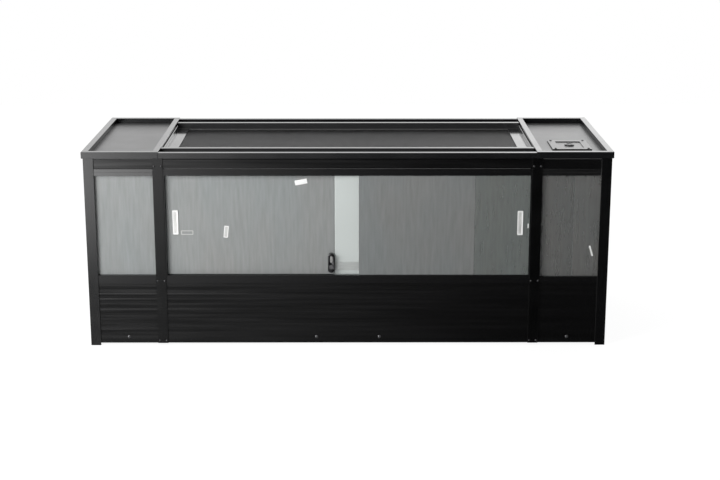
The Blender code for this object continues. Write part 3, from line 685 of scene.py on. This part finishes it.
class CAGE_OT_overlap_strip(CageOperator):
    """Finish the pale strip over the overlap of the panes, and add a painted glint along its
    edge
    """

    bl_idname = "cage.finish_strip"
    bl_label = "Finish overlap strip"

    def execute(self, context):
        color = context.scene.cage_finish.strip
        mottled("pale strip", color, 0.93, 1.05, (18.0, 4.0, (1, 1, 0.5)), 0.0002,
                Roughness=0.45).paint(["overlap_film"])
        # The edge takes the strip's colour 1.75 times lighter: a painted glint of the pane's
        # polished edge.
        edge = scuffed("pale strip edge glint", shade(color, 1.75), 0.25, 0.40, (60.0, 2.0))
        low, high = box_of("overlap_film")
        wide = 0.0009
        face = low[1]
        layers = ((0, face), (0.00005, face - 0.00012), (0.00015, face - 0.0002))
        mesh = layered_plate("strip_edge_glint", (high[0] - wide / 2, (low[2] + high[2]) / 2),
                             wide, high[2] - low[2], 0.0003, layers)
        object_of(mesh, edge, "left_door", "overlap_film")
        return {"FINISHED"}


class CAGE_OT_labels(CageOperator):
    """Stick the bare labels on the panes"""

    bl_idname = "cage.stick_labels"
    bl_label = "Stick labels"

    def execute(self, context):
        finish = context.scene.cage_finish
        sizes = context.scene.cage_sizes
        paper = mottled("label paper", finish.label, 0.96, 1.0, (300.0,), 0.00003,
                        Roughness=0.5)
        faded = mottled("faded label paper", finish.label_faded, 0.9, 1.1, (200.0,),
                        Roughness=0.5)
        skin = sizes.label_skin
        clearance = 0.00007
        lift = sizes.film_skin + sizes.film_wave + clearance
        stickers = (
            ("white", "door_glass_left", (-0.1078, 0.3917), 0.0285, 0.0115, 10.6),
            ("window", "window_right", (0.5670, 0.2280), 0.0040, 0.0260, 17.0),
            ("edge", "door_glass_right", (0.4185, 0.2890), 0.0026, 0.0110, 0.0),
        )
        for part, pane, center, wide, high, tilt in stickers:
            face = front_of(pane) - lift
            layers = ((0, face), (0, face - skin * 0.7), (skin, face - skin))
            mesh = layered_plate(f"label_{part}", center, wide, high, 0.0010, layers,
                                 math.radians(tilt))
            object_of(mesh, paper, PANES[pane], "glass")
        face = front_of("door_glass_left") - lift
        upright = (-0.2830, 0.2735)
        lean = math.radians(-6.0)
        flat = frame_label("label_outline_flat", (-0.3735, 0.2715), 0.028, 0.010, 0.0, face,
                           skin)
        tall = frame_label("label_outline_upright", upright, 0.010, 0.028, lean, face, skin)
        layers = ((0, face), (0, face - skin * 0.4), (0.0002, face - skin * 0.5))
        inner = layered_plate("label_inner_upright", upright, 0.0076, 0.0256, 0.0006, layers,
                              lean)
        for mesh, recipe in ((flat, faded), (tall, paper), (inner, faded)):
            object_of(mesh, recipe, "left_door", "glass")
        return {"FINISHED"}


def frame_label(name, center, wide, high, tilt, face, skin):
    """Empty border of a label: the section of the border is carried round the outline, so
    each corner of the section is one ring of the outline."""
    border = 0.0016
    section = ((0, face), (0, face - skin), (border, face - skin), (border, face))
    rings = plate_rings(center, wide, high, 0.0012, section, tilt, least_corner=0.0003)
    return tidy(mesh_of(name, rings, grid_faces(4, rings.shape[1], wrap_rows=True)))


class CAGE_OT_finger_pulls(CageOperator):
    """Make the dished finger pulls of the sliding panes"""

    bl_idname = "cage.make_pulls"
    bl_label = "Make finger pulls"

    def execute(self, context):
        finish = context.scene.cage_finish
        plastic = mottled("white pull plastic", finish.pull, 0.97, 1.0, (40.0, 2.0), 0.00002,
                          Roughness=0.35)
        # The well colour is painted shade: a darker floor in each dish, where the recess lies
        # in shade.
        shaded = mottled("pull well painted shade", finish.pull_well_shade, 0.6, 1.4, (120.0, 3.0, (1, 1, 0.4)),
                         Roughness=0.45)
        well_inset = 0.0036
        for side in SIDES:
            node = f"finger_pull_{side}"
            body = f"{side}_door"
            low, high = box_of(node)
            wide, deep, tall = high - low
            front = low[1]
            floor = front + deep * 0.55
            layers = ((0, high[1]), (0, front + deep * 0.35), (0.0003, front + deep * 0.1),
                      (0.0008, front), (0.0017, front), (0.0021, front + deep * 0.08),
                      (0.0032, front + deep * 0.45), (0.0042, floor))
            center = center_of(low, high)
            object_of(layered_plate(f"pull_{side}", center, wide, tall, 0.0022, layers),
                      plastic, body, "finger_pull", node)
            # A thin plate on the dish floor carries the painted shade of the recess.
            layers = ((0, floor), (0, floor - 0.0001), (0.0003, floor - 0.00015))
            object_of(layered_plate(f"pull_well_shade_{side}", center, wide - 2 * well_inset,
                                    tall - 2 * well_inset, 0.0008, layers),
                      shaded, body, "finger_pull")
        return {"FINISHED"}


class CAGE_OT_lock(CageOperator):
    """Make the display lock: ribbed bar, body, barrel and a pale plate in its recess for the
    painted reflection
    """

    bl_idname = "cage.make_lock"
    bl_label = "Make lock"

    def execute(self, context):
        finish = context.scene.cage_finish
        black = scuffed("lock black", finish.lock, 0.14, 0.22, (180.0, 2.0), 0.00002,
                        Metallic=1.0)
        object_of(rounded_copy("rounded_lock_body", "lock_body",
                               context.scene.cage_sizes.lock_fillet),
                  black, "right_door", "lock_body", "lock_body")
        # A pale plate on the recess floor: a painted reflection in the lock's gloss black
        # recess.
        recess_reflection = mottled("lock recess painted reflection", finish.lock_plate_reflection, 0.85, 1.15, (400.0, 2.0),
                         Roughness=0.35, Metallic=0.2)
        low, high = box_of("lock_body")
        front = low[1]
        layers = ((0, front + 0.0019), (0, front + 0.0012), (0.0004, front + 0.0009))
        rise = 0.0320
        center = ((low[0] + high[0]) / 2, low[2] + rise)
        object_of(layered_plate("lock_recess_reflection", center, 0.0062, 0.0160, 0.0030, layers),
                  recess_reflection, "right_door", "lock_body")
        scuffed("lock barrel metal", finish.lock_barrel, 0.12, 0.20, (500.0, 2.0),
                Metallic=1.0).paint(["lock_barrel"])
        steel = scuffed("lock bar steel", finish.lock_bar, 0.28, 0.42,
                        (300.0, 3.0, (0.03, 1, 1)), 0.00002, Metallic=0.7)
        object_of(ribbed_bar("ribbed_lock_bar"), steel, "left_door", "lock_bar", "lock_bar")
        return {"FINISHED"}


def rounded_copy(name, node, fillet):
    """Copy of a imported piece, merged to one skin, whose sharp edges are rounded."""
    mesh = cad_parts[node].data.copy()
    mesh.name = name
    mesh.materials.clear()
    work = bmesh.new()
    work.from_mesh(mesh)
    bmesh.ops.remove_doubles(work, verts=work.verts, dist=1e-6)
    bmesh.ops.dissolve_limit(work, angle_limit=math.radians(1), verts=work.verts,
                             edges=work.edges)
    sharp = [edge for edge in work.edges
             if len(edge.link_faces) == 2 and edge.calc_face_angle() > math.radians(40)]
    bmesh.ops.bevel(work, geom=sharp, offset=fillet, segments=4, profile=0.5,
                    affect="EDGES", clamp_overlap=True)
    work.to_mesh(mesh)
    work.free()
    return tidy(mesh, 40)


def ribbed_bar(name):
    """Strip with lengthwise ribs, bent round the edge of the pane. Along its path, which
    is three straight runs joined by quarter circles, each point has a normal. The section
    goes up the ribbed front, offset along the normal by a cosine, and down the plain back."""
    low, high = box_of("lock_bar")
    thick = 0.0010
    front = low[1] + thick / 2
    back = high[1] - thick / 2
    right = high[0] - thick / 2
    bend = 0.0009
    hook = right - 0.0085
    turn = right - bend
    quarter = np.linspace(0, math.pi / 2, 7)
    first = np.stack([np.linspace(low[0], turn, 12), np.full(12, front)], 1)
    turn_in = np.stack([turn + bend * np.sin(quarter),
                        front + bend - bend * np.cos(quarter)], 1)
    turn_back = np.stack([turn + bend * np.cos(quarter),
                          back - bend + bend * np.sin(quarter)], 1)
    last = np.stack([np.linspace(turn, hook, 5), np.full(5, back)], 1)
    path = np.concatenate([first[:-1], turn_in, turn_back, last[1:]])
    along = np.gradient(path, axis=0)
    along /= np.linalg.norm(along, axis=1, keepdims=True)
    normal = np.stack([along[:, 1], -along[:, 0]], 1)
    ribs = 5
    rise = 0.00028
    up = np.linspace(0, 1, 49)
    ribbed = thick / 2 - rise + rise * np.cos(2 * math.pi * ribs * up)
    offset = np.concatenate([ribbed, [-thick / 2, -thick / 2]])
    z = low[2] + (high[2] - low[2]) * np.concatenate([up, [1, 0]])
    x = path[:, :1] + normal[:, :1] * offset
    y = path[:, 1:] + normal[:, 1:] * offset
    return loft(name, np.stack([x, y, np.broadcast_to(z, x.shape)], 2), 50)


class CAGE_OT_screen_cloth(CageOperator):
    """Weave the screen's wire cloth and fold its hems"""

    bl_idname = "cage.weave_screen"
    bl_label = "Weave screen"

    def execute(self, context):
        finish = context.scene.cage_finish
        sizes = context.scene.cage_sizes
        wire = scuffed("black screen wire", finish.wire, 0.30, 0.45, (400.0, 2.0),
                       Coat_Weight=0.5, Coat_Roughness=0.3)
        low, high = box_of("screen_mesh")
        mesh = wire_cloth("screen_cloth", low, high, sizes.wire_pitch, sizes.wire_width)
        object_of(mesh, wire, "screen_lid", "screen_wire", "screen_mesh")
        # The hems take a colour five times lighter than the wire: a painted sheen along the
        # fold.
        fold = mottled("screen hem painted sheen", finish.hem, 0.7, 1.3, (90.0,), Roughness=0.4)
        for end, side in ((-1, "front"), (1, "rear")):
            object_of(hem(f"screen_hem_{side}", low, high, end), fold, "screen_lid",
                      "screen_wire")
        return {"FINISHED"}


def hem(name, low, high, end):
    """Folded edge of the cloth at the front, end -1, or the rear, end 1: a small circle
    carried along x, with its centre wandering in y and z by a sum of two sines."""
    radius = 0.0008
    gap = 0.0006
    end_gap = 0.001
    x = np.linspace(low[0] + end_gap, high[0] - end_gap, 160)
    wander = 0.0003 * np.sin(2 * math.pi * x / 0.21) + 0.0002 * np.sin(2 * math.pi * x / 0.083)
    y = front_of("screen_frame_rear") * end - end * (radius + gap + wander)
    z = high[2] + radius * 0.8 + 0.4 * wander
    return loft(name, round_bar(x, y, z, radius, 10), 60)


def wire_cloth(name, low, high, pitch, width):
    """Two layers of straight square wires, one on the other. Every wire is one box whose
    eight corners are its low corner plus none or all of its size along each axis."""
    corner = np.indices((2, 2, 2)).reshape(3, 8).T
    sides = np.array([(0, 1, 3, 2), (4, 6, 7, 5), (0, 4, 5, 1), (2, 3, 7, 6),
                      (0, 2, 6, 4), (1, 5, 7, 3)])
    half = width / 2
    clearance = 0.00002
    points = []
    for axis in (0, 1):
        count = int((high[axis] - low[axis]) / pitch)
        start = np.empty((count, 3))
        size = np.full((count, 3), width)
        start[:, axis] = np.linspace(low[axis] + half, high[axis] - half, count) - half
        start[:, 1 - axis] = low[1 - axis]
        size[:, 1 - axis] = high[1 - axis] - low[1 - axis]
        start[:, 2] = high[2] - width * (1 + axis) - clearance * axis
        points.append(start[:, None] + corner * size[:, None])
    points = np.concatenate(points)
    faces = sides[None] + 8 * np.arange(len(points))[:, None, None]
    return mesh_of(name, points, faces.reshape(-1, 4))


class CAGE_OT_screws(CageOperator):
    """Make the round heads of the base screws and fasteners, and finish the plate screws"""

    bl_idname = "cage.make_screws"
    bl_label = "Make screws"

    def execute(self, context):
        finish = context.scene.cage_finish
        metal = scuffed("blackened screws", finish.screw, 0.20, 0.30, (300.0, 2.0), 0.00002,
                        Metallic=0.6)
        metal.paint([f"cable_plate_screw_{number}" for number in range(1, 5)])
        for number in range(1, 5):
            node = f"base_screw_{number}"
            object_of(round_screw(f"round_screw_{number}", node), metal, "cage", "screw",
                      node)
        black = scuffed("black fasteners", finish.fastener, 0.20, 0.30, (300.0, 2.0),
                        Coat_Weight=0.3, Coat_Roughness=0.15)
        half_pitch = 0.008
        for side in SIDES:
            low, high = box_of(f"mullion_{side}")
            middle = (low[0] + high[0]) / 2
            levels = (high[2] - 0.0287, box_of("lower_track")[1][2] - 0.0135,
                      low[2] + 0.0062)
            for level, z in enumerate(levels, 1):
                for column, shift in enumerate((-half_pitch, half_pitch), 1):
                    mesh = fastener(f"fastener_{side}_{level}_{column}",
                                    (middle + shift, z), low[1])
                    object_of(mesh, black, "cage", "screw")
        return {"FINISHED"}


def round_screw(name, node):
    """Screw turned about y: a shallow driver well, a round head and a pointed shank."""
    low, high = box_of(node)
    radius = (high[0] - low[0]) / 2
    top = low[1]
    rise = 0.0022
    well = 0.0009
    shank = 0.0017
    profile = ((0, top + well), (radius * 0.28, top + well),
               (radius * 0.36, top + 0.00005), (radius * 0.55, top + rise * 0.10),
               (radius * 0.80, top + rise * 0.32), (radius * 0.95, top + rise * 0.62),
               (radius, top + rise), (shank, top + rise),
               (shank, high[1] - 2 * shank), (0, high[1]))
    return turned(name, center_of(low, high), profile)


def fastener(name, center, front):
    """Small dome turned about y: a quarter ellipse with a short rim behind it."""
    radius = 0.0026
    proud = 0.0002
    height = 0.0016
    foot = front + 0.0018
    dome = [(radius * math.sin(a), front - proud + height * (1 - math.cos(a)))
            for a in np.linspace(0, math.pi / 2, 7)]
    return turned(name, center, [*dome, (radius, foot), (0, foot)], 24)


class CAGE_OT_cable_port(CageOperator):
    """Finish the cable plate and its plug"""

    bl_idname = "cage.finish_cable_port"
    bl_label = "Finish cable port"

    def execute(self, context):
        finish = context.scene.cage_finish
        recipe = Recipe("moulded port plastic", Roughness=0.30, Coat_Weight=0.6,
                        Coat_Roughness=0.3)
        recipe.tint(recipe.noise(25.0), finish.port_dark, finish.port_light)
        recipe.relief(recipe.noise(600.0, 2.0), 0.00005)
        recipe.paint(["cable_plate", "cable_plug"])
        return {"FINISHED"}


# Stage


def world_light(world):
    """White behind the object, stronger at the right, soft light above it and faint light
    from the sides. Before the object it is dim but for a soft panel low at the left and a
    glow lower still. The camera sees plain white in every direction."""
    world.use_nodes = True
    tree = world.node_tree
    tree.nodes.clear()
    new = tree.nodes.new
    link = tree.links.new
    output = new("ShaderNodeOutputWorld")
    background = new("ShaderNodeBackground")
    direction = new("ShaderNodeSeparateXYZ")
    link(new("ShaderNodeTexCoord").outputs["Generated"], direction.inputs["Vector"])

    def ease(source, low, high, to_low, to_high, kind="SMOOTHSTEP"):
        return map_range(tree, source, low, high, to_low, to_high, kind)

    def math_of(operation, first, second=0.0):
        node = new("ShaderNodeMath")
        node.operation = operation
        link(first, node.inputs[0])
        if isinstance(second, float):
            node.inputs[1].default_value = second
        else:
            link(second, node.inputs[1])
        return node.outputs["Value"]

    x, y, z = (direction.outputs[axis] for axis in "XYZ")
    behind = math_of("MULTIPLY", ease(y, 0.0, 0.5, 0.015, 1.0),
                     ease(x, 0.02, 0.14, 1.0, 1.4))
    above = ease(z, 0.35, 0.95, 0.015, 0.5)
    panel = math_of("POWER", ease(x, -0.236, 0.22, 1.34, 0.0, "LINEAR"), 5.3)
    for edge in (ease(x, -0.75, -0.45, 0.0, 1.0), ease(z, -0.282, -0.214, 0.0, 1.0),
                 ease(z, 0.0, 0.3, 1.0, 0.0), ease(y, -0.5, 0.0, 1.0, 0.0)):
        panel = math_of("MULTIPLY", panel, edge)
    low_glow = math_of("MULTIPLY", ease(x, -0.12, 0.13, 0.30, 0.0),
                       ease(z, -0.27, -0.23, 1.0, 0.25))
    sides = ease(math_of("ABSOLUTE", x), 0.55, 0.85, 0.0, 0.30)
    strength = behind
    for part in (above, panel, low_glow, sides):
        strength = math_of("MAXIMUM", strength, part)
    seen = new("ShaderNodeMix")
    link(new("ShaderNodeLightPath").outputs["Is Camera Ray"], seen.inputs["Factor"])
    link(strength, seen.inputs["A"])
    seen.inputs["B"].default_value = 1.0
    link(seen.outputs["Result"], background.inputs["Strength"])
    background.inputs["Color"].default_value = (1, 1, 1, 1)
    link(background.outputs["Background"], output.inputs["Surface"])


def floor_material(color):
    """Pale floor that the camera sees as white, with part of its shadow kept."""
    recipe = Recipe("pale floor", Base_Color=(*color, 1), Roughness=0.9,
                    Specular_IOR_Level=0.0)
    tree = recipe.tree
    glow = tree.nodes.new("ShaderNodeEmission")
    glow.inputs["Strength"].default_value = 1.2
    path = tree.nodes.new("ShaderNodeLightPath")
    share = map_range(tree, path.outputs["Is Camera Ray"], 0.0, 1.0, 0.0, 0.75)
    mix = tree.nodes.new("ShaderNodeMixShader")
    tree.links.new(share, mix.inputs["Fac"])
    tree.links.new(recipe.shader.outputs["BSDF"], mix.inputs[1])
    tree.links.new(glow.outputs["Emission"], mix.inputs[2])
    tree.links.new(mix.outputs["Shader"], tree.nodes["Material Output"].inputs["Surface"])
    return recipe.material


class CAGE_OT_stage(CageOperator):
    """Set up the floor, light and camera"""

    bl_idname = "cage.set_stage"
    bl_label = "Set stage"

    def execute(self, context):
        stage = context.scene.cage_stage
        place = context.scene.collection.objects.link
        reach = 3.2
        ground = -0.0005
        corners = np.array([(-reach, -reach, ground), (reach, -reach, ground),
                            (reach, reach, ground), (-reach, reach, ground)])
        floor = bpy.data.objects.new("floor", mesh_of("floor", corners, np.array([range(4)])))
        floor.data.materials.append(floor_material(stage.floor))
        place(floor)
        floor.visible_glossy = False

        world = bpy.data.worlds.new("studio")
        context.scene.world = world
        world_light(world)

        lamp = bpy.data.lights.new("key light", "AREA")
        lamp.shape = "SQUARE"
        lamp.size = stage.key_size
        lamp.energy = stage.key_power
        lamp.spread = math.radians(110)
        key = bpy.data.objects.new("key light", lamp)
        key.location = (-1.4, -1.35, 1.0)
        target = np.array((-0.25, -0.2, 0.22))
        aim = target - np.array(key.location)
        key.rotation_euler = (math.atan2(math.hypot(aim[0], aim[1]), -aim[2]), 0,
                              math.atan2(-aim[0], aim[1]))
        place(key)

        lens = bpy.data.cameras.new("camera")
        lens.lens = stage.lens
        lens.sensor_width = 36.0
        camera = bpy.data.objects.new("camera", lens)
        camera.location = (stage.camera_x, -stage.camera_back, stage.camera_z)
        camera.rotation_euler = (math.pi / 2 - stage.camera_pitch, 0, -stage.camera_turn)
        place(camera)
        context.scene.camera = camera
        context.scene.view_settings.view_transform = "Standard"
        return {"FINISHED"}


OPERATORS = (CAGE_OT_stage, CAGE_OT_frame, CAGE_OT_boards, CAGE_OT_tracks, CAGE_OT_glazing,
             CAGE_OT_overlap_strip, CAGE_OT_labels, CAGE_OT_finger_pulls, CAGE_OT_lock,
             CAGE_OT_screen_cloth, CAGE_OT_screws, CAGE_OT_cable_port)
SETTINGS = (("cage_finish", CageFinishSettings), ("cage_sizes", CageSizeSettings),
            ("cage_stage", CageStageSettings))


class CAGE_PT_panel(bpy.types.Panel):
    """Reptile cage settings and steps"""

    bl_label = "Reptile cage"
    bl_idname = "CAGE_PT_panel"
    bl_space_type = "VIEW_3D"
    bl_region_type = "UI"
    bl_category = "Reptile cage"

    def draw(self, context):
        layout = self.layout
        for attribute, group in SETTINGS:
            column = layout.column(align=True)
            settings = getattr(context.scene, attribute)
            for key in group.__annotations__:
                column.prop(settings, key)
        for operator in OPERATORS:
            layout.operator(operator.bl_idname)


def register():
    for attribute, group in SETTINGS:
        bpy.utils.register_class(group)
        setattr(bpy.types.Scene, attribute, bpy.props.PointerProperty(type=group))
    for step in (*OPERATORS, CAGE_PT_panel):
        bpy.utils.register_class(step)


def unregister():
    for step in (CAGE_PT_panel, *reversed(OPERATORS)):
        bpy.utils.unregister_class(step)
    for attribute, group in reversed(SETTINGS):
        delattr(bpy.types.Scene, attribute)
        bpy.utils.unregister_class(group)


def main():
    register()
    for operator in OPERATORS:
        group, name = operator.bl_idname.split(".")
        getattr(getattr(bpy.ops, group), name)()


if __name__ == "__main__":
    main()
